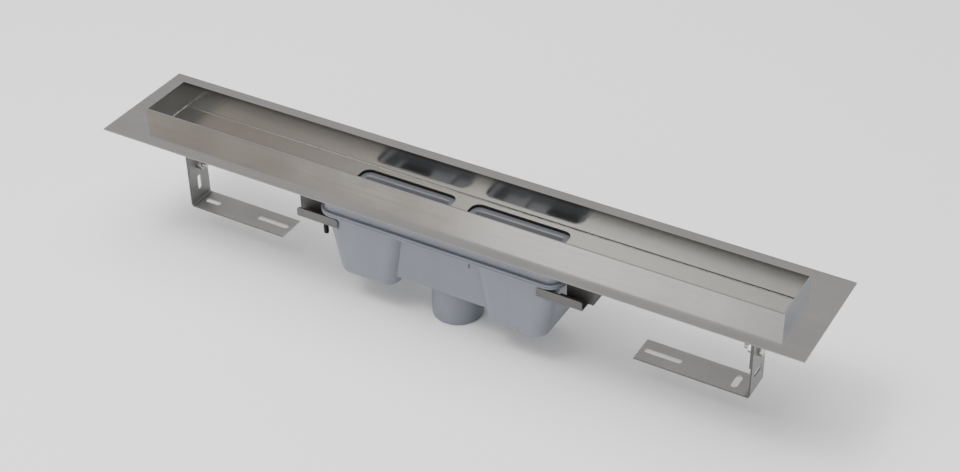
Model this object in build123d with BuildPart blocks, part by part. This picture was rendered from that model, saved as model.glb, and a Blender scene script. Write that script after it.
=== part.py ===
from build123d import *
import os

os.makedirs("parts", exist_ok=True)

# Linear shower drain: a steel trough with a collar flange, a moulded trap clamped under
# its floor, and two adjustable feet. Millimetres, +Z up, +X along the trough. The origin
# is the centre of the outlet's lower end.

# Collar flange that the waterproofing is bonded to
flange_length = 732.0
flange_width = 120.0
flange_sheet = 1.5
flange_height = 128.0  # top face, above the outlet's lower end

# Trough: folded sheet with a plate welded on each end
flange_end = 31.0  # from the trough's end to the flange's end
trough_width = 60.0
trough_depth = 28.3  # rim to floor, inside
trough_sheet = 1.5
trough_bend = 0.8  # inside radius of the folds
rim_height = 15.7  # rim above the flange

# Two openings in the trough's floor
opening_length = 103.5
opening_width = 43.5
opening_radius = 9.0
opening_pitch = 121.0

# Rubber gasket between the trough's floor and the trap
gasket_thickness = 3.0
gasket_margin = 6.0  # rubber left round the openings
gasket_setback = 1.0  # behind the edge of each opening

# Trap: an upper collar and a lower body, welded together at their lips
trap_length = 260.0
trap_width = 84.0
lip_thickness = 2.5
lip_radius = 16.0
lip_overhang = 3.0  # past the collar's walls
lip_round = 0.8  # rounding of the lips' outer edges
wall = 2.5  # moulded wall
seam_drop = 15.4  # from the trough's underside down to the seam between the lips

# Two cups that hold the water seal
cup_length = 86.5
cup_width = 77.0
cup_radius = 14.0
cup_foot_length = 61.0
cup_foot_width = 75.0
cup_foot_radius = 12.0
cup_pitch = 162.5
cup_foot_pitch = 161.5
cup_depth = 69.0  # below the lower lip

# Chamber between the cups, and the outlet spigot below it
chamber_length = 112.0
chamber_width = 62.0
chamber_foot_width = 60.0
chamber_depth = 55.5
chamber_radius = 2.0
weir_drop = 16.0  # from the lower lip to the edge that the water spills over
outlet_diameter = 50.0
outlet_wall = 2.4
outlet_chamfer = 1.0
pad_length = 64.0
pad_depth = 17.0
pad_proud = 1.6
pad_corner = 5.0

# Removable odour inserts
insert_gap = 0.5  # all round the rim
insert_rim = 1.4
insert_ledge = 3.5  # width of the ledge that the rim sits on
insert_wall = 2.0
seal_width = 1.5
tray_depth = 13.0
tray_taper = 4.0  # the tray narrows by this on each side
tray_radius = 4.0  # of the corners at the tray's foot
mouth_round = 2.0
tube_length = 38.0
tube_width = 26.0
tube_radius = 6.0
tube_clear_foot = 14.0  # from the tube's foot to the cup's floor
bar_width = 6.0
bar_height = 3.0
bar_offset = 20.0  # from the tray's middle, towards the outlet

# Clamp brackets at both ends of the trap
bracket_sheet = 1.5
bracket_bend = 1.0
neck_length = 315.0  # over both end faces
neck_width = 54.0
wing_length = 305.0
wing_width = 80.6
wing_drop = 30.9  # from the trough's underside to the wings' lower faces
strip_height = 11.0
strip_reach = 213.0  # between the tips of the upturned strips
strip_corner = 3.0
bracket_clearance = 0.8

# Clamp screws that press the trap's lip up towards the gasket
clamp_thread = 5.0
clamp_reach = 125.0  # from the outlet's axis, along the trough
clamp_tail = 14.0  # below the wing
clamp_socket = 2.5
screw_chamfer = 0.5
thread_play = 0.02  # stands for the thread's running clearance

# Feet, and the hangers that carry them
leg_sheet = 1.5
leg_bend = 1.5
leg_width = 30.0
leg_inset = 29.0  # from the trough's end to the upright's outer face
foot_length = 113.0
foot_drop = 99.0  # from the flange's top face to the foot's top face
upright_top = 20.0  # from the flange's top face to the upright's upper end
hanger_drop = 67.0  # from the flange's top face to the hanger's lower end
hanger_tab = 24.0
leg_slot_width = 5.5
foot_slot_length = 37.0
foot_slot_end = 4.0  # from the foot's free end
near_slot_length = 17.5
near_slot_bend = 7.5  # from the upright's outer face
cross_slot_width = 6.5
cross_slot_bend = 18.5
side_slot_length = 17.0
side_slot_bend = 20.0
adjust_slot_length = 34.0

# Bolts that fix the feet to their hangers
bolt_drop = 55.0  # from the flange's top face to the bolt's axis
bolt_thread = 6.0
bolt_flats = 10.0
bolt_head = 4.0
bolt_length = 14.0
bolt_play = 0.5  # across the slot or hole
nut_height = 5.0
washer_thickness = 1.6
washer_diameter = 12.0
washer_play = 0.4

# Lengths and heights worked out from the sizes above
trough_length = flange_length - 2 * flange_end
leg_span = trough_length - 2 * leg_inset
rim_top = flange_height + rim_height
floor_top = rim_top - trough_depth
trough_underside = floor_top - trough_sheet
collar_top = trough_underside - gasket_thickness
seam_height = trough_underside - seam_drop
lip_bottom = seam_height - lip_thickness
cup_bottom = lip_bottom - cup_depth
chamber_bottom = lip_bottom - chamber_depth
weir_height = lip_bottom - weir_drop
tube_foot = cup_bottom + wall + tube_clear_foot
wing_bottom = trough_underside - wing_drop
neck_margin = gasket_setback - insert_ledge - seal_width


def trough_profile(profile, width, floor, radius):
    """Outline of the trough from a floor height up to the rim, with its two folds."""
    with Locations((0, floor)):
        Rectangle(width, rim_top - floor, align=(Align.CENTER, Align.MIN))
    fillet(profile.vertices().group_by(Axis.Y)[0], radius)


def opening_outline(middle, margin, mode=Mode.ADD):
    """One floor opening centred at a length along the trough, grown by a margin."""
    with Locations((middle, 0)):
        RectangleRounded(opening_length + 2 * margin, opening_width + 2 * margin,
                         opening_radius + margin, mode=mode)


def tray_foot(middle, margin):
    """The foot of one insert's tray, grown by a margin."""
    grown = 2 * (neck_margin - tray_taper + margin)
    with Locations((middle, 0)):
        RectangleRounded(opening_length + grown, opening_width + grown, tray_radius + margin)


def opening_outlines(margin, mode=Mode.ADD):
    """Both floor openings, grown by a margin."""
    opening_outline(-opening_pitch / 2, margin, mode)
    opening_outline(opening_pitch / 2, margin, mode)


def cup_share(height):
    """How far a height is from the lip to the cup's foot, from 0 to 1."""
    return (lip_bottom - height) / cup_depth


def cup_centre(height):
    """Distance of a cup's centre from the outlet's axis at a height."""
    return (cup_pitch + cup_share(height) * (cup_foot_pitch - cup_pitch)) / 2


def cup_outline(side, height, margin):
    """One cup's outline at a height, grown by a margin."""
    length = cup_length + cup_share(height) * (cup_foot_length - cup_length)
    width = cup_width + cup_share(height) * (cup_foot_width - cup_width)
    with Locations((side * cup_centre(height), 0)):
        RectangleRounded(length + 2 * margin, width + 2 * margin, cup_radius + margin)


# Trough: one sheet folded to a U, with two openings cut in its floor
end_sheet = trough_sheet
with BuildPart() as trough:
    with BuildSketch(Plane.YZ) as outside:
        trough_profile(outside, trough_width, trough_underside, trough_bend + trough_sheet)
    extrude(amount=trough_length / 2 - end_sheet, both=True)
    with BuildSketch(Plane.YZ) as inside:
        trough_profile(inside, trough_width - 2 * trough_sheet, floor_top, trough_bend)
    extrude(amount=trough_length / 2, both=True, mode=Mode.SUBTRACT)
    with BuildSketch(Plane.XY.offset(floor_top)):
        opening_outlines(0)
    extrude(amount=-trough_sheet, mode=Mode.SUBTRACT)
trough.part.label = "trough"
export_step(trough.part, "parts/trough.step")

# End plates, welded across both ends of the trough
for side, name in ((-1, "left"), (1, "right")):
    with BuildPart() as end_plate:
        with BuildSketch(Plane.YZ.offset(side * (trough_length / 2 - end_sheet))) as outside:
            trough_profile(outside, trough_width, trough_underside, trough_bend + trough_sheet)
        extrude(amount=side * end_sheet)
    end_plate.part.label = f"end_plate_{name}"
    export_step(end_plate.part, f"parts/end_plate_{name}.step")

# Collar flange: a flat frame welded round the trough
with BuildPart() as collar_flange:
    with BuildSketch(Plane.XY.offset(flange_height - flange_sheet)):
        Rectangle(flange_length, flange_width)
        Rectangle(trough_length, trough_width, mode=Mode.SUBTRACT)
    extrude(amount=flange_sheet)
collar_flange.part.label = "collar_flange"
export_step(collar_flange.part, "parts/collar_flange.step")

# Gasket: one rubber mat with two windows, between the trough's floor and the trap
gasket_length = opening_pitch + opening_length + 2 * gasket_margin
with BuildPart() as trap_gasket:
    with BuildSketch(Plane.XY.offset(collar_top)):
        RectangleRounded(gasket_length, opening_width + 2 * gasket_margin,
                         opening_radius + gasket_margin)
        opening_outlines(gasket_setback, Mode.SUBTRACT)
    extrude(amount=gasket_thickness)
trap_gasket.part.label = "trap_gasket"
export_step(trap_gasket.part, "parts/trap_gasket.step")

# The lip that both halves of the trap have, with its outer edges rounded
with BuildPart() as lip:
    with BuildSketch(Plane.XY.offset(lip_bottom)):
        RectangleRounded(trap_length, trap_width, lip_radius)
    extrude(amount=lip_thickness)
    fillet(lip.edges().group_by(Axis.Z)[0] + lip.edges().group_by(Axis.Z)[-1], lip_round)

# Trap collar: the upper half of the trap, a shallow box open below with a lip all round
collar_length = trap_length - 2 * lip_overhang
collar_width = trap_width - 2 * lip_overhang
collar_radius = lip_radius - lip_overhang
with BuildPart() as trap_collar:
    with BuildSketch(Plane.XY.offset(seam_height)):
        RectangleRounded(collar_length, collar_width, collar_radius)
    extrude(amount=collar_top - seam_height)
    fillet(trap_collar.edges().group_by(Axis.Z)[-1], wall / 2)
    add(lip.part.moved(Location((0, 0, lip_thickness))))
    with BuildSketch(Plane.XY.offset(seam_height)):
        RectangleRounded(collar_length - 2 * wall, collar_width - 2 * wall,
                         collar_radius - wall)
    extrude(amount=collar_top - wall - seam_height, mode=Mode.SUBTRACT)
    with BuildSketch(Plane.XY.offset(collar_top)):
        opening_outlines(gasket_setback - insert_ledge)
    extrude(amount=-wall, mode=Mode.SUBTRACT)
trap_collar.part.label = "trap_collar"
export_step(trap_collar.part, "parts/trap_collar.step")

# The cups' outside and inside, tapered so that they leave their mould
with BuildPart() as cups_outside:
    for side in (-1, 1):
        for height in (lip_bottom, cup_bottom):
            with BuildSketch(Plane.XY.offset(height)):
                cup_outline(side, height, 0)
        loft()
    fillet(cups_outside.edges().group_by(Axis.Z)[0], cup_foot_radius)

with BuildPart() as cups_inside:
    for side in (-1, 1):
        for height in (lip_bottom, cup_bottom + wall):
            with BuildSketch(Plane.XY.offset(height)):
                cup_outline(side, height, -wall)
        loft()
    fillet(cups_inside.edges().group_by(Axis.Z)[0], cup_foot_radius - wall)

# The chamber's inside, between the cups' walls
with BuildPart() as chamber_inside:
    with BuildSketch(Plane.XY.offset(lip_bottom)):
        Rectangle(chamber_length, chamber_width - 2 * wall)
    with BuildSketch(Plane.XY.offset(chamber_bottom + wall)):
        Rectangle(chamber_length, chamber_foot_width - 2 * wall)
    loft()
    add(cups_outside.part, mode=Mode.SUBTRACT)

# Trap body: the lower half, with two cups, the chamber between them and the outlet
with BuildPart() as trap_body:
    with BuildSketch(Plane.XY.offset(lip_bottom)):
        Rectangle(chamber_length, chamber_width)
    with BuildSketch(Plane.XY.offset(chamber_bottom)):
        Rectangle(chamber_length, chamber_foot_width)
    loft()
    fillet(trap_body.edges().group_by(Axis.Z)[0].filter_by(Axis.X), chamber_radius)
    with BuildSketch(Plane.XZ) as pad:
        with Locations((0, lip_bottom)):
            Rectangle(pad_length, pad_depth, align=(Align.CENTER, Align.MAX))
        fillet(pad.vertices().group_by(Axis.Y)[0], pad_corner)
    extrude(amount=chamber_width / 2 + pad_proud, both=True)
    add(cups_outside.part)
    add(lip.part)
    with BuildSketch(Plane.XY):
        Circle(outlet_diameter / 2)
    extrude(amount=chamber_bottom + wall)
    with BuildSketch(Plane.XY.offset(lip_bottom)):
        cup_outline(-1, lip_bottom, -wall)
        cup_outline(1, lip_bottom, -wall)
        Rectangle(cup_pitch, chamber_width - 2 * wall)
    extrude(amount=lip_thickness, mode=Mode.SUBTRACT)
    add(cups_inside.part, mode=Mode.SUBTRACT)
    add(chamber_inside.part, mode=Mode.SUBTRACT)
    with BuildSketch(Plane.XY.offset(weir_height)):
        Rectangle(chamber_length, chamber_foot_width - 2 * wall)
    extrude(amount=weir_drop, mode=Mode.SUBTRACT)
    with BuildSketch(Plane.XY):
        Circle(outlet_diameter / 2 - outlet_wall)
    extrude(amount=chamber_bottom + wall, mode=Mode.SUBTRACT)
    spigot_rim = trap_body.edges().filter_by(GeomType.CIRCLE).group_by(Axis.Z)[0]
    chamfer(spigot_rim.sort_by(SortBy.RADIUS)[-1], outlet_chamfer)
trap_body.part.label = "trap_body"
export_step(trap_body.part, "parts/trap_body.step")

# Odour inserts: a tray that fills each opening, with a tube that dips into the cup's water.
# Each lifts out through the trough, and a rubber ring seals it in the collar.
tray_bottom = collar_top - tray_depth
tube_centre = cup_centre(tube_foot)
for side, name in ((-1, "left"), (1, "right")):
    middle = side * opening_pitch / 2
    with BuildPart() as odour_insert:
        with BuildSketch(Plane.XY.offset(collar_top)):
            opening_outline(middle, -insert_gap)
        extrude(amount=insert_rim)
        with BuildSketch(Plane.XY.offset(collar_top)):
            opening_outline(middle, neck_margin)
        extrude(amount=-wall)
        with BuildSketch(Plane.XY.offset(collar_top - wall)):
            opening_outline(middle, neck_margin)
        with BuildSketch(Plane.XY.offset(tray_bottom)):
            tray_foot(middle, 0)
        loft()
        with BuildSketch(Plane.XY.offset(tray_bottom)):
            with Locations((side * tube_centre, 0)):
                RectangleRounded(tube_length, tube_width, tube_radius)
        extrude(amount=tube_foot - tray_bottom)
        with BuildSketch(Plane.XY.offset(tray_bottom + insert_wall)):
            tray_foot(middle, -insert_wall)
        with BuildSketch(Plane.XY.offset(collar_top + insert_rim)):
            opening_outline(middle, neck_margin - insert_wall)
        loft(mode=Mode.SUBTRACT)
        with BuildSketch(Plane.XY.offset(tube_foot)):
            with Locations((side * tube_centre, 0)):
                RectangleRounded(tube_length - 2 * insert_wall, tube_width - 2 * insert_wall,
                                 tube_radius - insert_wall)
        extrude(amount=tray_bottom + insert_wall - tube_foot, mode=Mode.SUBTRACT)
        with BuildSketch(Plane.XY.offset(tray_bottom + insert_wall)):
            with Locations((middle - side * bar_offset, 0)):
                Rectangle(bar_width, opening_width + 2 * (neck_margin - tray_taper) - insert_wall)
        extrude(amount=bar_height)
        mouth = odour_insert.faces().sort_by(Axis.Z)[-1].inner_wires()[0]
        fillet(mouth.edges(), mouth_round)
    odour_insert.part.label = f"odour_insert_{name}"
    export_step(odour_insert.part, f"parts/odour_insert_{name}.step")

    with BuildPart() as insert_seal:
        with BuildSketch(Plane.XY.offset(collar_top - wall)):
            opening_outline(middle, gasket_setback - insert_ledge)
            opening_outline(middle, neck_margin, Mode.SUBTRACT)
        extrude(amount=wall)
    insert_seal.part.label = f"insert_seal_{name}"
    export_step(insert_seal.part, f"parts/insert_seal_{name}.step")

# Clamp brackets: sheet folded to a hat section, closed by a plate at its outer end, with
# wings whose upturned strips run in front of the cups and behind them. One wing is tapped
# for the clamp screw. Both brackets are the same part, turned end for end.
neck_start = trap_length / 2 + bracket_clearance
fold_outer = bracket_bend + bracket_sheet
neck_inside = neck_width / 2 - bracket_sheet
clamp_offset = (neck_width + wing_width - 2 * bracket_sheet) / 4
with BuildPart() as clamp_bracket_right:
    with BuildSketch(Plane.YZ.offset(strip_reach / 2)):
        with BuildLine():
            FilletPolyline(
                (-wing_width / 2, wing_bottom + strip_height),
                (-wing_width / 2, wing_bottom),
                (-neck_inside, wing_bottom),
                (-neck_inside, trough_underside - bracket_sheet),
                (neck_inside, trough_underside - bracket_sheet),
                (neck_inside, wing_bottom),
                (wing_width / 2, wing_bottom),
                (wing_width / 2, wing_bottom + strip_height),
                radius=[fold_outer, fold_outer, bracket_bend, bracket_bend, fold_outer, fold_outer],
            )
            offset(amount=bracket_sheet, side=Side.LEFT)
        make_face()
    extrude(amount=(neck_length - strip_reach) / 2)
    with BuildSketch(Plane.XY.offset(wing_bottom)):
        Rectangle(2 * neck_start, neck_width)
    extrude(amount=wing_drop, mode=Mode.SUBTRACT)
    with BuildSketch(Plane.XY.offset(wing_bottom)):
        with Locations((wing_length / 2, 0)):
            Rectangle(neck_length, wing_width, align=(Align.MIN, Align.CENTER))
            Rectangle(neck_length, neck_width, align=(Align.MIN, Align.CENTER),
                      mode=Mode.SUBTRACT)
    extrude(amount=strip_height, mode=Mode.SUBTRACT)
    with BuildSketch(Plane.YZ.offset(neck_length / 2)):
        with Locations((0, wing_bottom)):
            Rectangle(neck_width, wing_drop, align=(Align.CENTER, Align.MIN))
    extrude(amount=-bracket_sheet)
    with BuildSketch(Plane.XY.offset(wing_bottom)):
        cup_outline(1, wing_bottom + strip_height, bracket_clearance)
    extrude(amount=strip_height, mode=Mode.SUBTRACT)
    with BuildSketch(Plane.XY.offset(wing_bottom)):
        with Locations((clamp_reach, clamp_offset)):
            Circle(clamp_thread / 2 + thread_play)
    extrude(amount=bracket_sheet, mode=Mode.SUBTRACT)
    strip_tips = clamp_bracket_right.edges().filter_by(Axis.Y).filter_by(
        lambda edge: abs(edge.center().Z - wing_bottom - strip_height) < bracket_sheet / 4)
    fillet(strip_tips, strip_corner)
clamp_bracket_right.part.label = "clamp_bracket_right"
export_step(clamp_bracket_right.part, "parts/clamp_bracket_right.step")

with BuildPart() as clamp_bracket_left:
    add(clamp_bracket_right.part, rotation=(0, 0, 180))
clamp_bracket_left.part.label = "clamp_bracket_left"
export_step(clamp_bracket_left.part, "parts/clamp_bracket_left.step")

# Clamp screws: each tip presses the lip up, and the socket for the key is below
for side, name in ((-1, "left"), (1, "right")):
    with BuildPart() as clamp_screw:
        with BuildSketch(Plane.XY.offset(lip_bottom)):
            with Locations((side * clamp_reach, side * clamp_offset)):
                Circle(clamp_thread / 2)
        extrude(amount=wing_bottom - clamp_tail - lip_bottom)
        chamfer(clamp_screw.edges().filter_by(GeomType.CIRCLE), screw_chamfer)
        with BuildSketch(Plane.XY.offset(wing_bottom - clamp_tail)):
            with Locations((side * clamp_reach, side * clamp_offset)):
                RegularPolygon(clamp_socket / 2, 6, major_radius=False)
        extrude(amount=clamp_socket, mode=Mode.SUBTRACT)
    clamp_screw.part.label = f"clamp_screw_{name}"
    export_step(clamp_screw.part, f"parts/clamp_screw_{name}.step")

# Feet: one sheet each, folded to an L, with slots for adjusting and fixing. The left foot
# is slotted lengthwise and the right one crosswise, so the drain can be set both ways.
foot_bottom = flange_height - foot_drop - leg_sheet
foot_top = flange_height - foot_drop
bolt_height = flange_height - bolt_drop
adjust_slot_width = bolt_thread + 2 * bolt_play
for side, name in ((-1, "left"), (1, "right")):
    face = side * leg_span / 2
    with BuildPart() as leg:
        with BuildSketch(Plane.XZ):
            with BuildLine():
                FilletPolyline(
                    (face - side * foot_length, foot_bottom),
                    (face, foot_bottom),
                    (face, flange_height - upright_top),
                    radius=leg_bend + leg_sheet,
                )
                offset(amount=leg_sheet, side=Side.LEFT if side > 0 else Side.RIGHT)
            make_face()
        extrude(amount=leg_width / 2, both=True)
        foot_end = face - side * foot_length
        with BuildSketch(Plane.XY.offset(foot_bottom)):
            with Locations((foot_end + side * (foot_slot_end + foot_slot_length / 2), 0)):
                SlotOverall(foot_slot_length, leg_slot_width)
            if side < 0:
                with Locations((face - side * (near_slot_bend + near_slot_length / 2), 0)):
                    SlotOverall(near_slot_length, leg_slot_width)
            else:
                with Locations((face - side * cross_slot_bend, 0)):
                    SlotOverall(near_slot_length, cross_slot_width, rotation=90)
        extrude(amount=leg_sheet, mode=Mode.SUBTRACT)
        with BuildSketch(Plane.YZ.offset(face)):
            with Locations((0, foot_top + side_slot_bend)):
                SlotOverall(side_slot_length, leg_slot_width, rotation=90 if side < 0 else 0)
            with Locations((0, bolt_height + (adjust_slot_length - adjust_slot_width) / 2)):
                SlotOverall(adjust_slot_length, adjust_slot_width, rotation=90)
        extrude(amount=-side * leg_sheet, mode=Mode.SUBTRACT)
    leg.part.label = f"leg_{name}"
    export_step(leg.part, f"parts/leg_{name}.step")

    # Hanger: a strip welded under the trough's floor and folded down inside the upright
    seat = face - side * leg_sheet
    with BuildPart() as hanger:
        with BuildSketch(Plane.XZ):
            with BuildLine():
                FilletPolyline(
                    (seat - side * hanger_tab, trough_underside),
                    (seat, trough_underside),
                    (seat, flange_height - hanger_drop),
                    radius=leg_bend + leg_sheet,
                )
                offset(amount=leg_sheet, side=Side.RIGHT if side > 0 else Side.LEFT)
            make_face()
        extrude(amount=leg_width / 2, both=True)
        with BuildSketch(Plane.YZ.offset(seat)):
            with Locations((0, bolt_height)):
                Circle(bolt_thread / 2 + bolt_play)
        extrude(amount=-side * leg_sheet, mode=Mode.SUBTRACT)
    hanger.part.label = f"hanger_{name}"
    export_step(hanger.part, f"parts/hanger_{name}.step")

    # Bolt, washer and nut that hold the upright to the hanger
    with BuildPart() as leg_bolt:
        with BuildSketch(Plane.YZ.offset(face)):
            with Locations((0, bolt_height)):
                RegularPolygon(bolt_flats / 2, 6, major_radius=False)
        extrude(amount=side * bolt_head)
        with BuildSketch(Plane.YZ.offset(face)):
            with Locations((0, bolt_height)):
                Circle(bolt_thread / 2)
        extrude(amount=-side * bolt_length)
        bolt_tip = leg_bolt.edges().filter_by(GeomType.CIRCLE).sort_by(Axis.X)[-1 if side < 0 else 0]
        chamfer(bolt_tip, screw_chamfer)
    leg_bolt.part.label = f"leg_bolt_{name}"
    export_step(leg_bolt.part, f"parts/leg_bolt_{name}.step")

    washer_seat = seat - side * leg_sheet
    with BuildPart() as leg_washer:
        with BuildSketch(Plane.YZ.offset(washer_seat)):
            with Locations((0, bolt_height)):
                Circle(washer_diameter / 2)
                Circle(bolt_thread / 2 + washer_play, mode=Mode.SUBTRACT)
        extrude(amount=-side * washer_thickness)
    leg_washer.part.label = f"leg_washer_{name}"
    export_step(leg_washer.part, f"parts/leg_washer_{name}.step")

    with BuildPart() as leg_nut:
        with BuildSketch(Plane.YZ.offset(washer_seat - side * washer_thickness)):
            with Locations((0, bolt_height)):
                RegularPolygon(bolt_flats / 2, 6, major_radius=False)
                Circle(bolt_thread / 2 + thread_play, mode=Mode.SUBTRACT)
        extrude(amount=-side * nut_height)
    leg_nut.part.label = f"leg_nut_{name}"
    export_step(leg_nut.part, f"parts/leg_nut_{name}.step")
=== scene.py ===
import math

import bmesh
import bpy
from mathutils import Matrix, Vector


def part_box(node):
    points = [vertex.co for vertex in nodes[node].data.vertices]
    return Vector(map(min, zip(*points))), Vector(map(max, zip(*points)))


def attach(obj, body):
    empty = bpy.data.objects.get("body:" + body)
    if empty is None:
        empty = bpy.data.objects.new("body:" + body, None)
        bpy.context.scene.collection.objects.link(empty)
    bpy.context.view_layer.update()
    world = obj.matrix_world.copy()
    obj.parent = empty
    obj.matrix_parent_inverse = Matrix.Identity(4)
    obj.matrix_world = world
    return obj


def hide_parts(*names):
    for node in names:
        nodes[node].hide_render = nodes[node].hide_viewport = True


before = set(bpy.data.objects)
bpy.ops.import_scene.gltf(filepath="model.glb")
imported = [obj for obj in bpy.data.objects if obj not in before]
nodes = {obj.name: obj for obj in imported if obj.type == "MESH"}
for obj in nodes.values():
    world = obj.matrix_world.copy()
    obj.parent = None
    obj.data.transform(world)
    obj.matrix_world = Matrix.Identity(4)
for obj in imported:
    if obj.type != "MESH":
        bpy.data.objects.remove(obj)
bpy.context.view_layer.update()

# ---- Trough and its end plates ----
# One sheet of 1.5 mm stainless steel, folded to a U, with a plate welded across each end.
# The sheet keeps the fine rolled grain of the mill along its length, and the floor shows
# the faint marks of the spot welds that hold the hangers below it.

trough_low, trough_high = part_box("trough")
plate_low, plate_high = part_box("end_plate_right")
sheet_thickness = plate_high.x - plate_low.x
floor_top = trough_low.z + sheet_thickness
wall_face = trough_high.y - sheet_thickness
end_face = plate_low.x
weld_inset = 0.008
hanger_weld = (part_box("hanger_right")[0].x + weld_inset, weld_inset, floor_top)


def shader_group(name, inputs, outputs):
    """A new shader node group with its sockets, and its input and output nodes."""
    group = bpy.data.node_groups.new(name, "ShaderNodeTree")
    for label, kind, value in inputs:
        socket = group.interface.new_socket(label, in_out="INPUT", socket_type=kind)
        socket.default_value = value
    for label, kind in outputs:
        group.interface.new_socket(label, in_out="OUTPUT", socket_type=kind)
    return group, group.nodes.new("NodeGroupInput"), group.nodes.new("NodeGroupOutput")


def math_node(tree, operation, *values):
    """A math node on values, each a socket or a number. Returns its output."""
    node = tree.nodes.new("ShaderNodeMath")
    node.operation = operation
    for slot, value in enumerate(values):
        if isinstance(value, (int, float)):
            node.inputs[slot].default_value = value
        else:
            tree.links.new(value, node.inputs[slot])
    return node.outputs[0]


def weighted(tree, first, share, second):
    """A share of one value and the rest of another."""
    rest = math_node(tree, "MULTIPLY", second, 1 - share)
    return math_node(tree, "MULTIPLY_ADD", first, share, rest)


def stretched_noise(tree, vector, stretch, detail, roughness):
    """Noise on a vector scaled along each axis by a tuple or a socket. Returns 0 to 1."""
    scaled = tree.nodes.new("ShaderNodeVectorMath")
    scaled.operation = "MULTIPLY"
    tree.links.new(vector, scaled.inputs[0])
    if isinstance(stretch, tuple):
        scaled.inputs[1].default_value = stretch
    else:
        tree.links.new(stretch, scaled.inputs[1])
    noise = tree.nodes.new("ShaderNodeTexNoise")
    noise.inputs["Scale"].default_value = 1.0
    noise.inputs["Detail"].default_value = detail
    noise.inputs["Roughness"].default_value = roughness
    tree.links.new(scaled.outputs[0], noise.inputs["Vector"])
    return noise.outputs["Fac"]


def remap(tree, value, low, high, new_low, new_high, smooth=False):
    """Maps a range of a value to another range, clamped at both ends. Returns its output."""
    node = tree.nodes.new("ShaderNodeMapRange")
    node.interpolation_type = "SMOOTHSTEP" if smooth else "LINEAR"
    tree.links.new(value, node.inputs["Value"])
    for label, number in (("From Min", low), ("From Max", high),
                          ("To Min", new_low), ("To Max", new_high)):
        node.inputs[label].default_value = number
    return node.outputs["Result"]


def mix_colours(tree, share, first, second):
    """Mixes two colours by a share. Each is a socket or an RGB tuple."""
    node = tree.nodes.new("ShaderNodeMix")
    node.data_type = "RGBA"
    tree.links.new(share, node.inputs["Factor"])
    for socket, value in ((node.inputs[6], first), (node.inputs[7], second)):
        if isinstance(value, tuple):
            socket.default_value = (*value, 1.0)
        else:
            tree.links.new(value, socket)
    return node.outputs[2]


def mix_values(tree, share, first, second):
    """Mixes two values by a share. Each is a socket or a number."""
    node = tree.nodes.new("ShaderNodeMix")
    tree.links.new(share, node.inputs["Factor"])
    for socket, value in ((node.inputs[2], first), (node.inputs[3], second)):
        if isinstance(value, (int, float)):
            socket.default_value = value
        else:
            tree.links.new(value, socket)
    return node.outputs[0]


# Rolled sheet: fine lines along one direction, wider streaks, and cloudy handling marks
sheet_surface, sheet_in, sheet_out = shader_group(
    "rolled_sheet",
    [("Vector", "NodeSocketVector", (0, 0, 0)), ("Grain", "NodeSocketVector", (8, 900, 900)),
     ("Streak", "NodeSocketVector", (2, 90, 90)), ("Cloud", "NodeSocketVector", (14, 22, 22)),
     ("Wave", "NodeSocketVector", (16, 24, 24))],
    [("Grain", "NodeSocketFloat"), ("Streak", "NodeSocketFloat"), ("Cloud", "NodeSocketFloat"),
     ("Wave", "NodeSocketFloat")],
)
for label, detail, roughness in (("Grain", 2.0, 0.5), ("Streak", 3.0, 0.6), ("Cloud", 4.0, 0.55),
                                 ("Wave", 0.0, 0.5)):
    value = stretched_noise(sheet_surface, sheet_in.outputs["Vector"], sheet_in.outputs[label],
                            detail, roughness)
    sheet_surface.links.new(value, sheet_out.inputs[label])

# Spot weld: a faint dished ring round a point and round its mirror points in X and Y
spot_weld, spot_in, spot_out = shader_group(
    "spot_weld",
    [("Vector", "NodeSocketVector", (0, 0, 0)), ("Centre", "NodeSocketVector", (0, 0, 0)),
     ("Radius", "NodeSocketFloat", 0.0016)],
    [("Ring", "NodeSocketFloat")],
)
mirrored = spot_weld.nodes.new("ShaderNodeVectorMath")
mirrored.operation = "ABSOLUTE"
spot_weld.links.new(spot_in.outputs["Vector"], mirrored.inputs[0])
away = spot_weld.nodes.new("ShaderNodeVectorMath")
away.operation = "DISTANCE"
spot_weld.links.new(mirrored.outputs[0], away.inputs[0])
spot_weld.links.new(spot_in.outputs["Centre"], away.inputs[1])
from_ring = math_node(spot_weld, "DIVIDE", away.outputs["Value"], spot_in.outputs["Radius"])
from_ring = math_node(spot_weld, "ABSOLUTE", math_node(spot_weld, "SUBTRACT", from_ring, 1.0))
ring_width = 0.55
ring = remap(spot_weld, from_ring, 0.0, ring_width, 1.0, 0.0, smooth=True)
spot_weld.links.new(ring, spot_out.inputs["Ring"])


def object_vector(tree):
    """The piece's own coordinates."""
    return tree.nodes.new("ShaderNodeTexCoord").outputs["Object"]


def place_group(tree, group, vector, **values):
    """Places a shader group on a vector with its own values."""
    node = tree.nodes.new("ShaderNodeGroup")
    node.node_tree = group
    tree.links.new(vector, node.inputs["Vector"])
    for label, value in values.items():
        node.inputs[label].default_value = value
    return node


def bump(tree, height, distance, strength, below=None):
    """A bump node on a height, over another bump's normal. Returns its normal."""
    node = tree.nodes.new("ShaderNodeBump")
    node.inputs["Strength"].default_value = strength
    node.inputs["Distance"].default_value = distance
    tree.links.new(height, node.inputs["Height"])
    if below is not None:
        tree.links.new(below, node.inputs["Normal"])
    return node.outputs["Normal"]


def piece_axes(tree, vector):
    """The place along X, the distance from the middle across Y, and the height Z."""
    place = tree.nodes.new("ShaderNodeSeparateXYZ")
    tree.links.new(vector, place.inputs[0])
    across = math_node(tree, "ABSOLUTE", place.outputs["Y"])
    return place.outputs["X"], across, place.outputs["Z"]


def band(tree, value, low, high, fade):
    """1 where a value is between low and high, falling to 0 over the fade outside them."""
    above = remap(tree, value, low - fade, low, 0.0, 1.0, smooth=True)
    below = remap(tree, value, high, high + fade, 1.0, 0.0, smooth=True)
    return math_node(tree, "MULTIPLY", above, below)


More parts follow.
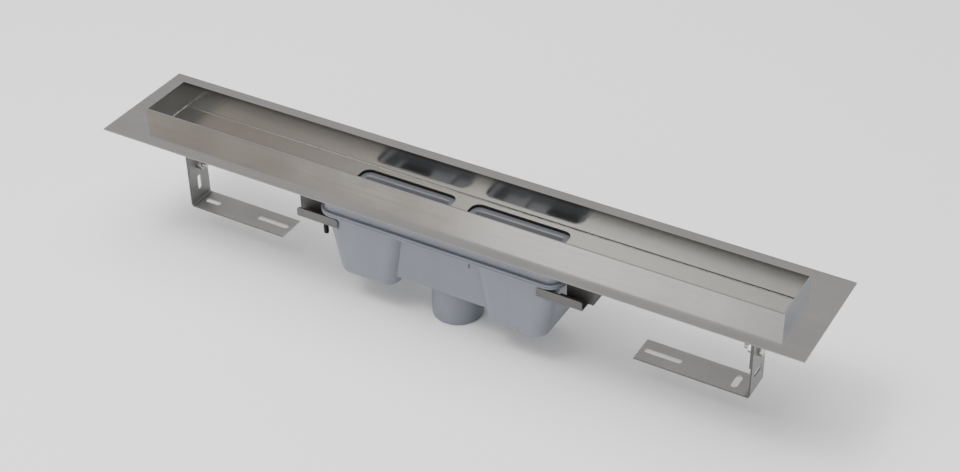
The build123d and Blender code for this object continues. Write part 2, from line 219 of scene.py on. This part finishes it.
def new_material(name):
    """A new material, its node tree and its shader."""
    material = bpy.data.materials.new(name)
    material.use_nodes = True
    return material, material.node_tree, material.node_tree.nodes["Principled BSDF"]


def sheet_steel(name, dark, light, gloss, dull, grain=(8, 900, 900), streak=(2, 90, 90),
                relief=0.1, metal=1.0, weld_centres=(), stains=()):
    """Steel with a rolled or drawn grain. Each stain or patch of painted shade: share, colour,
    roughness, metallic.
    """
    wave_height, grain_height, weld_height = 0.0006, 0.00002, 0.00008
    wave_relief, weld_relief = 0.13, 0.5
    weld_tint, weld_share = (0.3, 0.27, 0.24), 0.16
    material, tree, shader = new_material(name)
    shader.inputs["Metallic"].default_value = metal
    vector = object_vector(tree)
    surface = place_group(tree, sheet_surface, vector, Grain=grain, Streak=streak).outputs
    tone = weighted(tree, surface["Streak"], 0.5, surface["Cloud"])
    colour = mix_colours(tree, remap(tree, tone, 0.35, 0.65, 0.0, 1.0), dark, light)
    wear = weighted(tree, surface["Grain"], 0.4, surface["Cloud"])
    rough = remap(tree, wear, 0.3, 0.7, gloss, dull)
    normal = bump(tree, surface["Wave"], wave_height, wave_relief)
    normal = bump(tree, surface["Grain"], grain_height, relief, normal)
    for centre in weld_centres:
        ring = place_group(tree, spot_weld, vector, Centre=centre).outputs["Ring"]
        normal = bump(tree, ring, weld_height, weld_relief, normal)
        colour = mix_colours(tree, math_node(tree, "MULTIPLY", ring, weld_share),
                             colour, weld_tint)
    for share, stain, stain_rough, stain_metal in stains:
        share = share(tree, *piece_axes(tree, vector))
        colour = mix_colours(tree, share, colour, stain)
        rough = mix_values(tree, share, rough, stain_rough)
        if metal != stain_metal:
            metal = mix_values(tree, share, metal, stain_metal)
            tree.links.new(metal, shader.inputs["Metallic"])
    tree.links.new(colour, shader.inputs["Base Color"])
    tree.links.new(rough, shader.inputs["Roughness"])
    tree.links.new(normal, shader.inputs["Normal"])
    return material


def dress(material, *names):
    """Gives CAD nodes one material."""
    for name in names:
        mesh = nodes[name].data
        mesh.materials.clear()
        mesh.materials.append(material)


# How far a mark reaches past a face, and how softly its borders fade
mark_margin = 0.0003
mark_fade = 0.0001


def wall_surface(tree, across, depth):
    """1 within a depth of the walls' inner faces."""
    return band(tree, across, wall_face - depth, wall_face + mark_margin, mark_fade)


def trough_inside(tree, along, across, height):
    """Painted shade: the inside of the trough a little darker and rougher, for the light that
    reaches less far in between the walls.
    """
    above = remap(tree, height, floor_top - 2 * mark_margin, floor_top - mark_margin, 0.0, 1.0)
    between = remap(tree, across, wall_face + mark_margin, wall_face + 2 * mark_margin, 1.0, 0.0)
    ends = band(tree, along, -end_face - mark_margin, end_face + mark_margin, mark_margin)
    return math_node(tree, "MULTIPLY", math_node(tree, "MULTIPLY", above, between), ends)


def fold_dirt(tree, along, across, height):
    """A thin line of painted shade in the folds between the floor and the walls, darker towards
    the right.
    """
    line_foot, line_top, line_depth = 0.00005, 0.0011, 0.00055
    up = band(tree, height, floor_top + line_foot, floor_top + line_top, mark_fade)
    side = wall_surface(tree, across, line_depth)
    darker_to_the_right = remap(tree, along, -0.22, 0.05, 0.3, 0.97)
    return math_node(tree, "MULTIPLY", math_node(tree, "MULTIPLY", up, side),
                     darker_to_the_right)


def opening_edge(tree, along, across, height):
    """Painted shade on the cut edges of the floor's openings, for the shadowed gap down to the
    insert.
    """
    edge_foot, edge_top, edge_fade = 0.0014, 0.0001, 0.00008
    up = band(tree, height, floor_top - edge_foot, floor_top - edge_top, edge_fade)
    off_the_walls = remap(tree, across, wall_face - 0.004, wall_face - 0.003, 0.95, 0.0)
    return math_node(tree, "MULTIPLY", up, off_the_walls)


def under_rim(tree, along, across, height):
    """A band of painted shade on the inside of the walls below the rim, darkest near the rim."""
    fade_foot, fade_top, wall_depth = 0.0055, 0.0008, 0.0004
    up = remap(tree, height, trough_high.z - fade_foot, trough_high.z - fade_top, 0.0, 0.8,
               smooth=True)
    return math_node(tree, "MULTIPLY", up, wall_surface(tree, across, wall_depth))


# The inside's darker tone, the band under the rim, the line in the folds and the dark edges of
# the openings are painted shade.
trough_steel = sheet_steel(
    "trough_stainless", (0.56, 0.555, 0.545), (0.63, 0.625, 0.615), 0.11, 0.18,
    weld_centres=(hanger_weld,),
    stains=((trough_inside, (0.52, 0.515, 0.5), 0.18, 1.0),
            (under_rim, (0.2, 0.19, 0.17), 0.25, 1.0),
            (fold_dirt, (0.012, 0.012, 0.011), 0.4, 1.0),
            (opening_edge, (0.035, 0.033, 0.03), 0.5, 0.6)))
dress(trough_steel, "trough")
plate_steel = sheet_steel(
    "end_plate_stainless", (0.58, 0.575, 0.565), (0.65, 0.645, 0.635), 0.13, 0.2,
    grain=(900, 8, 900), streak=(90, 2, 90))
dress(plate_steel, "end_plate_left", "end_plate_right")


def new_piece(name, mesh, *materials):
    """Links a mesh to the scene as a piece of the drain, with its materials."""
    piece = bpy.data.objects.new(name, mesh)
    bpy.context.scene.collection.objects.link(piece)
    for material in materials:
        mesh.materials.append(material)
    return piece


def socket_node(tree, kind, settings, links):
    """Adds a node, sets its plain inputs and links others. Returns the node."""
    node = tree.nodes.new(kind)
    for label, value in settings.items():
        node.inputs[label].default_value = value
    for label, source in links.items():
        tree.links.new(source, node.inputs[label])
    return node


def baked(name, tree, **sizes):
    """The plain mesh that a geometry tree makes with its named sizes."""
    carrier = bpy.data.objects.new(name + "_carrier", bpy.data.meshes.new(name + "_carrier"))
    bpy.context.scene.collection.objects.link(carrier)
    modifier = carrier.modifiers.new(name, "NODES")
    modifier.node_group = tree
    for item in tree.interface.items_tree:
        if item.in_out == "INPUT":
            modifier[item.identifier] = sizes[item.name.replace(" ", "_").lower()]
    evaluated = carrier.evaluated_get(bpy.context.evaluated_depsgraph_get())
    mesh = bpy.data.meshes.new_from_object(evaluated)
    carrier.modifiers.remove(modifier)
    bpy.data.objects.remove(carrier)
    return mesh


# A weld bead in overlapping scales joins each end plate to the floor
weld_metal = sheet_steel("weld_bead", (0.42, 0.41, 0.39), (0.55, 0.54, 0.52), 0.2, 0.34,
                         grain=(700, 700, 700), streak=(300, 300, 300))
bead_nodes = bpy.data.node_groups.new("weld_bead_row", "GeometryNodeTree")
for label in ("Half Width", "Scale Radius", "Scale Pitch"):
    bead_nodes.interface.new_socket(label, in_out="INPUT", socket_type="NodeSocketFloat")
bead_nodes.interface.new_socket("Geometry", in_out="OUTPUT", socket_type="NodeSocketGeometry")
bead_sizes = bead_nodes.nodes.new("NodeGroupInput").outputs
corner_right = socket_node(bead_nodes, "ShaderNodeCombineXYZ", {},
                           {"Y": bead_sizes["Half Width"]})
minus_width = math_node(bead_nodes, "MULTIPLY", bead_sizes["Half Width"], -1.0)
corner_left = socket_node(bead_nodes, "ShaderNodeCombineXYZ", {}, {"Y": minus_width})
run = socket_node(bead_nodes, "GeometryNodeCurvePrimitiveLine", {},
                  {"Start": corner_left.outputs[0], "End": corner_right.outputs[0]})
steps = bead_nodes.nodes.new("GeometryNodeCurveToPoints")
steps.mode = "LENGTH"
bead_nodes.links.new(run.outputs["Curve"], steps.inputs["Curve"])
bead_nodes.links.new(bead_sizes["Scale Pitch"], steps.inputs["Length"])
drop = socket_node(bead_nodes, "GeometryNodeMeshIcoSphere", {"Subdivisions": 2},
                   {"Radius": bead_sizes["Scale Radius"]})
uneven = bead_nodes.nodes.new("FunctionNodeRandomValue")
uneven.data_type = "FLOAT"
smallest_scale, largest_scale = uneven.inputs[2:4]
smallest_scale.default_value = 0.85
largest_scale.default_value = 1.1
uneven.inputs["Seed"].default_value = 5
scales = socket_node(bead_nodes, "GeometryNodeInstanceOnPoints", {},
                     {"Points": steps.outputs["Points"], "Instance": drop.outputs["Mesh"],
                      "Scale": uneven.outputs[1]})
real_scales = socket_node(bead_nodes, "GeometryNodeRealizeInstances", {},
                          {"Geometry": scales.outputs["Instances"]})
smooth_scales = socket_node(bead_nodes, "GeometryNodeSetShadeSmooth", {},
                            {"Geometry": real_scales.outputs["Geometry"]})
bead_finish = socket_node(bead_nodes, "GeometryNodeSetMaterial", {"Material": weld_metal},
                          {"Geometry": smooth_scales.outputs["Geometry"]})
socket_node(bead_nodes, "NodeGroupOutput", {}, {"Geometry": bead_finish.outputs["Geometry"]})

bead_radius = 0.0006
bead_pitch = 0.0004
bead_offset = bead_radius / 3
for side, out in (("left", -1), ("right", 1)):
    bead = baked("end_weld", bead_nodes, half_width=wall_face - bead_radius / 2,
                 scale_radius=bead_radius, scale_pitch=bead_pitch)
    bead.transform(Matrix.Translation((out * (end_face - bead_offset), 0,
                                       floor_top + bead_offset)))
    end_weld = new_piece("end_weld_" + side, bead)
    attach(end_weld, "root")

# ---- Collar flange ----
# A flat frame of the same sheet, welded round the trough a little below its rim. It is
# brushed along its length and carries the waterproof sheet that is bonded round the drain.

flange_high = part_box("collar_flange")[1]
edge_inner, edge_outer = 0.00012, 0.00004


def cut_edge(tree, along, across, height):
    """The sheared edges round the flange, greyer than the sheet's faces."""
    side = remap(tree, across, flange_high.y - edge_inner, flange_high.y - edge_outer,
                 0.0, 0.85)
    end = remap(tree, math_node(tree, "ABSOLUTE", along), flange_high.x - edge_inner,
                flange_high.x - edge_outer, 0.0, 0.85)
    return math_node(tree, "MAXIMUM", side, end)


flange_steel = sheet_steel(
    "flange_stainless", (0.56, 0.555, 0.545), (0.63, 0.625, 0.615), 0.1, 0.17,
    grain=(7, 800, 800), streak=(1.5, 70, 70),
    stains=((cut_edge, (0.14, 0.138, 0.135), 0.35, 1.0),))
dress(flange_steel, "collar_flange")

# ---- Trap ----
# Two injection mouldings of blue-grey polypropylene, hot-plate welded at their lips. The
# collar above is pressed against the trough by the clamp screws, with a rubber mat between.


def moulded_plastic(name, dark, light, gloss, dull, stains=()):
    """Moulded plastic with a fine spark-eroded grain. Each stain or patch of painted shade:
    share, colour.
    """
    pore_height, pore_relief = 0.00003, 0.3
    material, tree, shader = new_material(name)
    shader.inputs["Specular IOR Level"].default_value = 0.45
    vector = object_vector(tree)
    cloud = stretched_noise(tree, vector, (18, 18, 26), 4.0, 0.6)
    pores = stretched_noise(tree, vector, (2600, 2600, 2600), 2.0, 0.5)
    flow = stretched_noise(tree, vector, (40, 40, 7), 3.0, 0.55)
    tone = weighted(tree, cloud, 0.6, flow)
    colour = mix_colours(tree, remap(tree, tone, 0.35, 0.65, 0.0, 1.0), dark, light)
    for share, stain in stains:
        colour = mix_colours(tree, share(tree, *piece_axes(tree, vector)), colour, stain)
    tree.links.new(colour, shader.inputs["Base Color"])
    tree.links.new(remap(tree, cloud, 0.3, 0.7, gloss, dull), shader.inputs["Roughness"])
    tree.links.new(bump(tree, pores, pore_height, pore_relief), shader.inputs["Normal"])
    return material


def plain_rubber(name, dark, light):
    """Moulded black rubber with a powdery bloom."""
    grain_height, grain_relief = 0.00004, 0.4
    material, tree, shader = new_material(name)
    vector = object_vector(tree)
    bloom = stretched_noise(tree, vector, (60, 60, 60), 4.0, 0.6)
    grain = stretched_noise(tree, vector, (1800, 1800, 1800), 2.0, 0.5)
    tree.links.new(mix_colours(tree, remap(tree, bloom, 0.35, 0.7, 0.0, 1.0), dark, light),
                   shader.inputs["Base Color"])
    tree.links.new(remap(tree, bloom, 0.3, 0.7, 0.55, 0.75), shader.inputs["Roughness"])
    tree.links.new(bump(tree, grain, grain_height, grain_relief), shader.inputs["Normal"])
    return material


trap_plastic = moulded_plastic("trap_polypropylene", (0.158, 0.171, 0.2), (0.18, 0.194, 0.224),
                               0.42, 0.52)
dress(trap_plastic, "trap_collar", "trap_body")
seal_rubber = plain_rubber("seal_rubber", (0.018, 0.018, 0.018), (0.04, 0.039, 0.038))
dress(seal_rubber, "trap_gasket", "insert_seal_left", "insert_seal_right")

# ---- Odour inserts ----
# Grey polypropylene trays that lift out through the floor for cleaning. Each has a tube
# that dips into the water of the cup below it, and a bar to pull it out by.

insert_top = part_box("odour_insert_right")[1].z
rim_foot, rim_face = 0.0005, 0.0002


def tray_rim(tree, along, across, height):
    """Painted shade on the tray's rim, which makes it darker than its walls."""
    return remap(tree, height, insert_top - rim_foot, insert_top - rim_face, 0.0, 0.8)


# The tray's darker rim is painted shade.
insert_plastic = moulded_plastic("insert_polypropylene", (0.112, 0.117, 0.127),
                                 (0.14, 0.146, 0.156), 0.36, 0.48,
                                 stains=((tray_rim, (0.07, 0.075, 0.084)),))
dress(insert_plastic, "odour_insert_left", "odour_insert_right")

# ---- Clamp brackets and screws ----
# Folded stainless hat sections, welded under the trough at both ends of the trap. One wing
# of each is tapped for a blackened set screw that presses the trap's lip up.

neck_half = 0.0285
wing_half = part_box("clamp_bracket_right")[1].y - sheet_thickness


def neck_heat(tree, along, across, height):
    """Painted shade over the whole neck, for the shade it sits in under the flange."""
    neck_fade = 0.001
    return remap(tree, across, neck_half, neck_half - neck_fade, 0.0, 0.95)


def wing_heat(tree, along, across, height):
    """Painted shade on part of the wings beside the neck, which also makes them duller."""
    fade_start, fade_end = 0.0004, 0.0001
    return remap(tree, across, wing_half + fade_start, wing_half + fade_end, 0.0, 0.8)


# The bracket's steel is far darker than the trough's: painted shade for the shade under the
# flange, with more painted shade on the wings and the neck.
bracket_steel = sheet_steel(
    "bracket_stainless", (0.094, 0.092, 0.09), (0.124, 0.122, 0.119), 0.3, 0.42,
    grain=(10, 700, 700), streak=(3, 80, 80), relief=0.25, metal=0.9,
    stains=((wing_heat, (0.07, 0.067, 0.063), 0.55, 0.2),
            (neck_heat, (0.05, 0.047, 0.045), 0.6, 0.1)))
dress(bracket_steel, "clamp_bracket_left", "clamp_bracket_right")

dark_steel = sheet_steel("blackened_steel", (0.03, 0.03, 0.03), (0.06, 0.058, 0.055),
                         0.35, 0.5, grain=(900, 900, 60), streak=(200, 200, 30))


def threaded_rod_nodes(material):
    """Geometry nodes for a rod with a thread wound round it, standing on the origin."""
    rod_sides = 28
    thread_share = 0.66
    turns_left_plain = 0.8
    start_in_ridges, start_in_pitches = 0.35, 0.3
    tree = bpy.data.node_groups.new("threaded_rod", "GeometryNodeTree")
    for label in ("Core Radius", "Crest Radius", "Pitch", "Length"):
        tree.interface.new_socket(label, in_out="INPUT", socket_type="NodeSocketFloat")
    tree.interface.new_socket("Geometry", in_out="OUTPUT", socket_type="NodeSocketGeometry")
    sizes = tree.nodes.new("NodeGroupInput").outputs
    ridge = math_node(tree, "SUBTRACT", sizes["Crest Radius"], sizes["Core Radius"])
    turns = math_node(tree, "DIVIDE", sizes["Length"], sizes["Pitch"])
    turns = math_node(tree, "SUBTRACT", turns, turns_left_plain)
    profile_radius = math_node(tree, "MULTIPLY", ridge, thread_share)
    winding = math_node(tree, "SUBTRACT", sizes["Crest Radius"], profile_radius)
    helix = socket_node(tree, "GeometryNodeCurveSpiral", {"Resolution": rod_sides},
                        {"Rotations": turns, "Start Radius": winding, "End Radius": winding,
                         "Height": math_node(tree, "MULTIPLY", turns, sizes["Pitch"])})
    profile = socket_node(tree, "GeometryNodeCurvePrimitiveCircle", {"Resolution": 4},
                          {"Radius": profile_radius})
    thread = socket_node(tree, "GeometryNodeCurveToMesh", {"Fill Caps": True},
                         {"Curve": helix.outputs["Curve"],
                          "Profile Curve": profile.outputs["Curve"]})
    start = math_node(tree, "ADD", math_node(tree, "MULTIPLY", ridge, start_in_ridges),
                      math_node(tree, "MULTIPLY", sizes["Pitch"], start_in_pitches))
    lift = socket_node(tree, "ShaderNodeCombineXYZ", {}, {"Z": start})
    wound = socket_node(tree, "GeometryNodeTransform", {},
                        {"Geometry": thread.outputs["Mesh"], "Translation": lift.outputs[0]})
    core = socket_node(tree, "GeometryNodeMeshCylinder", {"Vertices": rod_sides},
                       {"Radius": sizes["Core Radius"], "Depth": sizes["Length"]})
    middle = socket_node(tree, "ShaderNodeCombineXYZ", {},
                         {"Z": math_node(tree, "MULTIPLY", sizes["Length"], 0.5)})
    rod = socket_node(tree, "GeometryNodeTransform", {},
                      {"Geometry": core.outputs["Mesh"], "Translation": middle.outputs[0]})
    joined = tree.nodes.new("GeometryNodeJoinGeometry")
    for part in (rod, wound):
        tree.links.new(part.outputs["Geometry"], joined.inputs["Geometry"])
    real = socket_node(tree, "GeometryNodeRealizeInstances", {},
                       {"Geometry": joined.outputs["Geometry"]})
    finish = socket_node(tree, "GeometryNodeSetMaterial", {"Material": material},
                         {"Geometry": real.outputs["Geometry"]})
    socket_node(tree, "NodeGroupOutput", {}, {"Geometry": finish.outputs["Geometry"]})
    return tree


def from_sixth(angle):
    """The angle from the nearest sixth of a turn."""
    return (angle + math.pi / 6) % (math.pi / 3) - math.pi / 6


set_screw_nodes = threaded_rod_nodes(dark_steel)
set_screw_pitch = 0.0008
set_screw_thread = 0.00045
socket_half = 0.00125
socket_depth = 2 * socket_half
socket_margin = 0.42
for side in ("left", "right"):
    low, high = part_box("clamp_screw_" + side)
    crest = (high.x - low.x) / 2
    rod = baked("set_screw", set_screw_nodes, core_radius=crest - set_screw_thread,
                crest_radius=crest, pitch=set_screw_pitch, length=high.z - low.z)
    shape = bmesh.new()
    shape.from_mesh(rod)
    bmesh.ops.remove_doubles(shape, verts=shape.verts, dist=1e-7)
    # The key's hexagon socket, sunk into the lower end, the many-sided face at height 0
    lower_end = next(face for face in shape.faces
                     if len(face.verts) > 20 and face.calc_center_median().z < 1e-6)
    bmesh.ops.inset_individual(shape, faces=[lower_end], thickness=crest * socket_margin)
    for vertex in lower_end.verts:
        angle = math.atan2(vertex.co.y, vertex.co.x)
        reach = socket_half / math.cos(from_sixth(angle))
        vertex.co.x, vertex.co.y = reach * math.cos(angle), reach * math.sin(angle)
    bottom = bmesh.ops.extrude_discrete_faces(shape, faces=[lower_end])["faces"][0]
    for vertex in bottom.verts:
        vertex.co.z += socket_depth
    shape.to_mesh(rod)
    shape.free()
    centre = (low + high) / 2
    rod.transform(Matrix.Translation((centre.x, centre.y, low.z)))
    screw = new_piece("set_screw_" + side, rod)
    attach(screw, "root")
    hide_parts("clamp_screw_" + side)

# ---- Feet and hangers ----
# L-shaped feet of 1.5 mm stainless strip with punched slots. Each is bolted through its
# slot to a hanger that is welded under the trough, so its height can be set.

leg_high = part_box("leg_right")[1]
hanger_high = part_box("hanger_right")[1]


def upright_dull(tree, along, across, height):
    """Painted shade on the uprights and the hangers, darker than the flat arms of the feet that
    face up into the light; they are also made duller.
    """
    fade_start, fade_end = 0.006, 0.004
    return remap(tree, math_node(tree, "ABSOLUTE", along), leg_high.x - fade_start,
                 leg_high.x - fade_end, 0.0, 0.85)


def strip_edge(tree, along, across, height):
    """The sheared long edges of the feet and the hangers."""
    edge_depth = 0.00005
    feet, hangers = (band(tree, across, edge - edge_depth, edge + mark_fade, mark_fade)
                     for edge in (leg_high.y, hanger_high.y))
    return math_node(tree, "MULTIPLY", math_node(tree, "MAXIMUM", feet, hangers), 0.8)


# The darker uprights and hangers are painted shade.
leg_steel = sheet_steel(
    "pickled_stainless", (0.4, 0.395, 0.387), (0.48, 0.475, 0.465), 0.36, 0.46,
    grain=(9, 700, 700), streak=(3, 80, 80), relief=0.25, metal=0.75,
    stains=((upright_dull, (0.245, 0.243, 0.24), 0.45, 0.75),
            (strip_edge, (0.06, 0.059, 0.057), 0.5, 0.8)))
dress(leg_steel, "hanger_left", "hanger_right", "leg_left", "leg_right")

fastener_steel = sheet_steel("fastener_stainless", (0.42, 0.41, 0.39), (0.55, 0.54, 0.52),
                             0.2, 0.35, grain=(60, 900, 900), streak=(30, 200, 200))
dress(fastener_steel, "leg_washer_left", "leg_washer_right")


def hexagon_body(flats, height, bore, both_sides):
    """A hexagon head or nut standing on the origin, with its corners chamfered by a cone."""
    segments = 72
    chamfer_start = flats / 2 * 0.96
    chamfer_slope = math.tan(math.radians(28))
    lead_in = bore * 0.12
    shape = bmesh.new()

    def ring(radius_at, height_at):
        made = []
        for step in range(segments):
            angle = 2 * math.pi * step / segments
            corner = flats / 2 / math.cos(math.pi / 6 - abs(from_sixth(angle)))
            radius = radius_at(corner)
            made.append(shape.verts.new((radius * math.cos(angle), radius * math.sin(angle),
                                         height_at(corner))))
        return made

    def drop(corner):
        return max(0.0, (corner - chamfer_start) * chamfer_slope)

    rings = []
    if bore:
        rings.append(ring(lambda corner: bore, lambda corner: 0))
    if both_sides:
        rings.append(ring(lambda corner: chamfer_start, lambda corner: 0))
        rings.append(ring(lambda corner: corner, drop))
    else:
        rings.append(ring(lambda corner: corner, lambda corner: 0))
    rings.append(ring(lambda corner: corner, lambda corner: height - drop(corner)))
    rings.append(ring(lambda corner: chamfer_start, lambda corner: height))
    if bore:
        rings.append(ring(lambda corner: bore + lead_in, lambda corner: height))
        rings.append(ring(lambda corner: bore, lambda corner: height - lead_in))
        rings.append(rings[0])
    for lower, upper in zip(rings, rings[1:]):
        for step in range(segments):
            after = (step + 1) % segments
            shape.faces.new((lower[step], lower[after], upper[after], upper[step]))
    if not bore:
        shape.faces.new(list(reversed(rings[0])))
        shape.faces.new(rings[-1])
    bmesh.ops.recalc_face_normals(shape, faces=shape.faces)
    mesh = bpy.data.meshes.new("hexagon")
    shape.to_mesh(mesh)
    shape.free()
    return mesh


def aimed(place, direction):
    """The matrix that stands something built along +Z on a place, along a direction."""
    turn = Vector(direction).to_track_quat("Z", "Y").to_matrix().to_4x4()
    return Matrix.Translation(place) @ turn


bolt_nodes = threaded_rod_nodes(fastener_steel)
bolt_radius = 0.003
bolt_thread = 0.0005
bolt_pitch = 0.001
for side, out in (("left", -1), ("right", 1)):
    bolt_low, bolt_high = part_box("leg_bolt_" + side)
    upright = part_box("leg_" + side)[0 if out < 0 else 1].x
    head_end = bolt_low.x if out < 0 else bolt_high.x
    tail_end = bolt_high.x if out < 0 else bolt_low.x
    flats = bolt_high.z - bolt_low.z
    axis_height = (bolt_low.z + bolt_high.z) / 2
    shank = baked("leg_bolt", bolt_nodes, core_radius=bolt_radius - bolt_thread,
                  crest_radius=bolt_radius, pitch=bolt_pitch, length=abs(tail_end - upright))
    shank.transform(aimed((tail_end, 0, axis_height), (out, 0, 0)))
    head = hexagon_body(flats, abs(head_end - upright), 0, False)
    head.transform(aimed((upright, 0, axis_height), (out, 0, 0)))
    shape = bmesh.new()
    shape.from_mesh(shank)
    shape.from_mesh(head)
    bolt_mesh = bpy.data.meshes.new("leg_bolt")
    shape.to_mesh(bolt_mesh)
    shape.free()
    bolt = new_piece("hexagon_bolt_" + side, bolt_mesh, fastener_steel)
    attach(bolt, "root")
    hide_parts("leg_bolt_" + side)

    nut_low, nut_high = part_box("leg_nut_" + side)
    nut_seat = nut_low.x if out < 0 else nut_high.x
    nut_mesh = hexagon_body(nut_high.z - nut_low.z, nut_high.x - nut_low.x, bolt_radius, True)
    nut_mesh.transform(aimed((nut_seat, 0, axis_height), (-out, 0, 0)))
    nut = new_piece("hexagon_nut_" + side, nut_mesh, fastener_steel)
    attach(nut, "root")
    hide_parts("leg_nut_" + side)

# ---- Studio ----
# A plain pale floor that the outlet stands on, a sky of soft panels and three large soft
# lamps, with the camera where the photograph was taken from.

floor_mesh = bpy.data.meshes.new("studio_floor")
floor_reach = 6.0
floor_height = -0.0003
floor_mesh.from_pydata([(x * floor_reach, y * floor_reach, floor_height)
                        for x, y in ((-1, -1), (1, -1), (1, 1), (-1, 1))],
                       [], [(0, 1, 2, 3)])
studio_floor = bpy.data.objects.new("studio_floor", floor_mesh)
bpy.context.scene.collection.objects.link(studio_floor)
floor_paint, _, floor_shader = new_material("floor_paint")
floor_shader.inputs["Base Color"].default_value = (0.93, 0.93, 0.93, 1)
floor_shader.inputs["Roughness"].default_value = 0.9
floor_mesh.materials.append(floor_paint)

# Soft panels stand round the drain: in front a dim warm one at the left, a bright one beside
# it and plainer ones further right, behind it grey ones that turn cool, and a dark one at the
# far right. The ground below them is grey, and the ceiling is white.
sky = bpy.data.worlds.new("studio_sky")
sky.use_nodes = True
sky_tree = sky.node_tree
sky_light = sky_tree.nodes["Background"]
sky_light.inputs["Strength"].default_value = 1.0
towards = sky_tree.nodes.new("ShaderNodeSeparateXYZ")
sky_tree.links.new(sky_tree.nodes.new("ShaderNodeTexCoord").outputs["Generated"],
                   towards.inputs[0])


def meet(axis, low, high, first, second):
    """One part of the sky that turns softly into another along an axis."""
    share = remap(sky_tree, towards.outputs[axis], low, high, 0.0, 1.0, smooth=True)
    return mix_colours(sky_tree, share, first, second)


bright_panel = meet("X", -0.39, -0.22, (2.3, 2.27, 2.22), (1.12, 1.12, 1.13))
side_panel = meet("X", -0.15, 0.15, bright_panel, (0.75, 0.74, 0.73))
front_panels = meet("X", -0.434, -0.402, (0.68, 0.61, 0.55), side_panel)
back_panels = meet("X", -0.1, 0.3, (0.5, 0.49, 0.485), (0.64, 0.68, 0.74))
panels = meet("Y", -0.3, 0.1, front_panels, back_panels)
panels = meet("X", 0.45, 0.65, panels, (0.22, 0.22, 0.23))
above_ground = meet("Z", 0.22, 0.42, (0.5, 0.5, 0.51), panels)
ceiling = meet("Z", 0.72, 0.95, above_ground, (1.25, 1.25, 1.25))
sky_tree.links.new(ceiling, sky_light.inputs["Color"])
bpy.context.scene.world = sky


def soft_lamp(name, place, aim, size, power):
    """A white square area lamp at a place, turned towards a point."""
    lamp = bpy.data.lights.new(name, "AREA")
    lamp.shape = "SQUARE"
    lamp.size = size
    lamp.energy = power
    holder = bpy.data.objects.new(name, lamp)
    bpy.context.scene.collection.objects.link(holder)
    holder.location = place
    holder.rotation_euler = (Vector(aim) - Vector(place)).to_track_quat("-Z", "Y").to_euler()


soft_lamp("lamp_over", (0, 0.2, 2.8), (0, 0, 0), 2.4, 45)
soft_lamp("lamp_front", (-0.6, -0.8, 2.4), (0, 0, 0.06), 1.1, 45)
soft_lamp("lamp_low", (-0.7, -2.3, 0.75), (0, 0, 0.06), 1.4, 14)

# The camera was found from the corners of the flange and of the trough's rim
eye = Vector((0.7028, -1.1380, 1.0613))
look = Vector((-0.4132, 0.6946, -0.5889)).normalized()
up = Vector((-0.2835, 0.5165, 0.8080)).normalized()
focal_pixels = 1771.4
photo_width = 960
camera_data = bpy.data.cameras.new("camera")
camera_data.sensor_fit = "HORIZONTAL"
camera_data.sensor_width = 36.0
camera_data.lens = focal_pixels / photo_width * camera_data.sensor_width
camera_data.clip_start = 0.05
camera_data.clip_end = 50
camera = bpy.data.objects.new("camera", camera_data)
bpy.context.scene.collection.objects.link(camera)
right = look.cross(up).normalized()
turn = Matrix((right, right.cross(look), -look)).transposed()
camera.matrix_world = Matrix.Translation(eye) @ turn.to_4x4()
bpy.context.scene.camera = camera
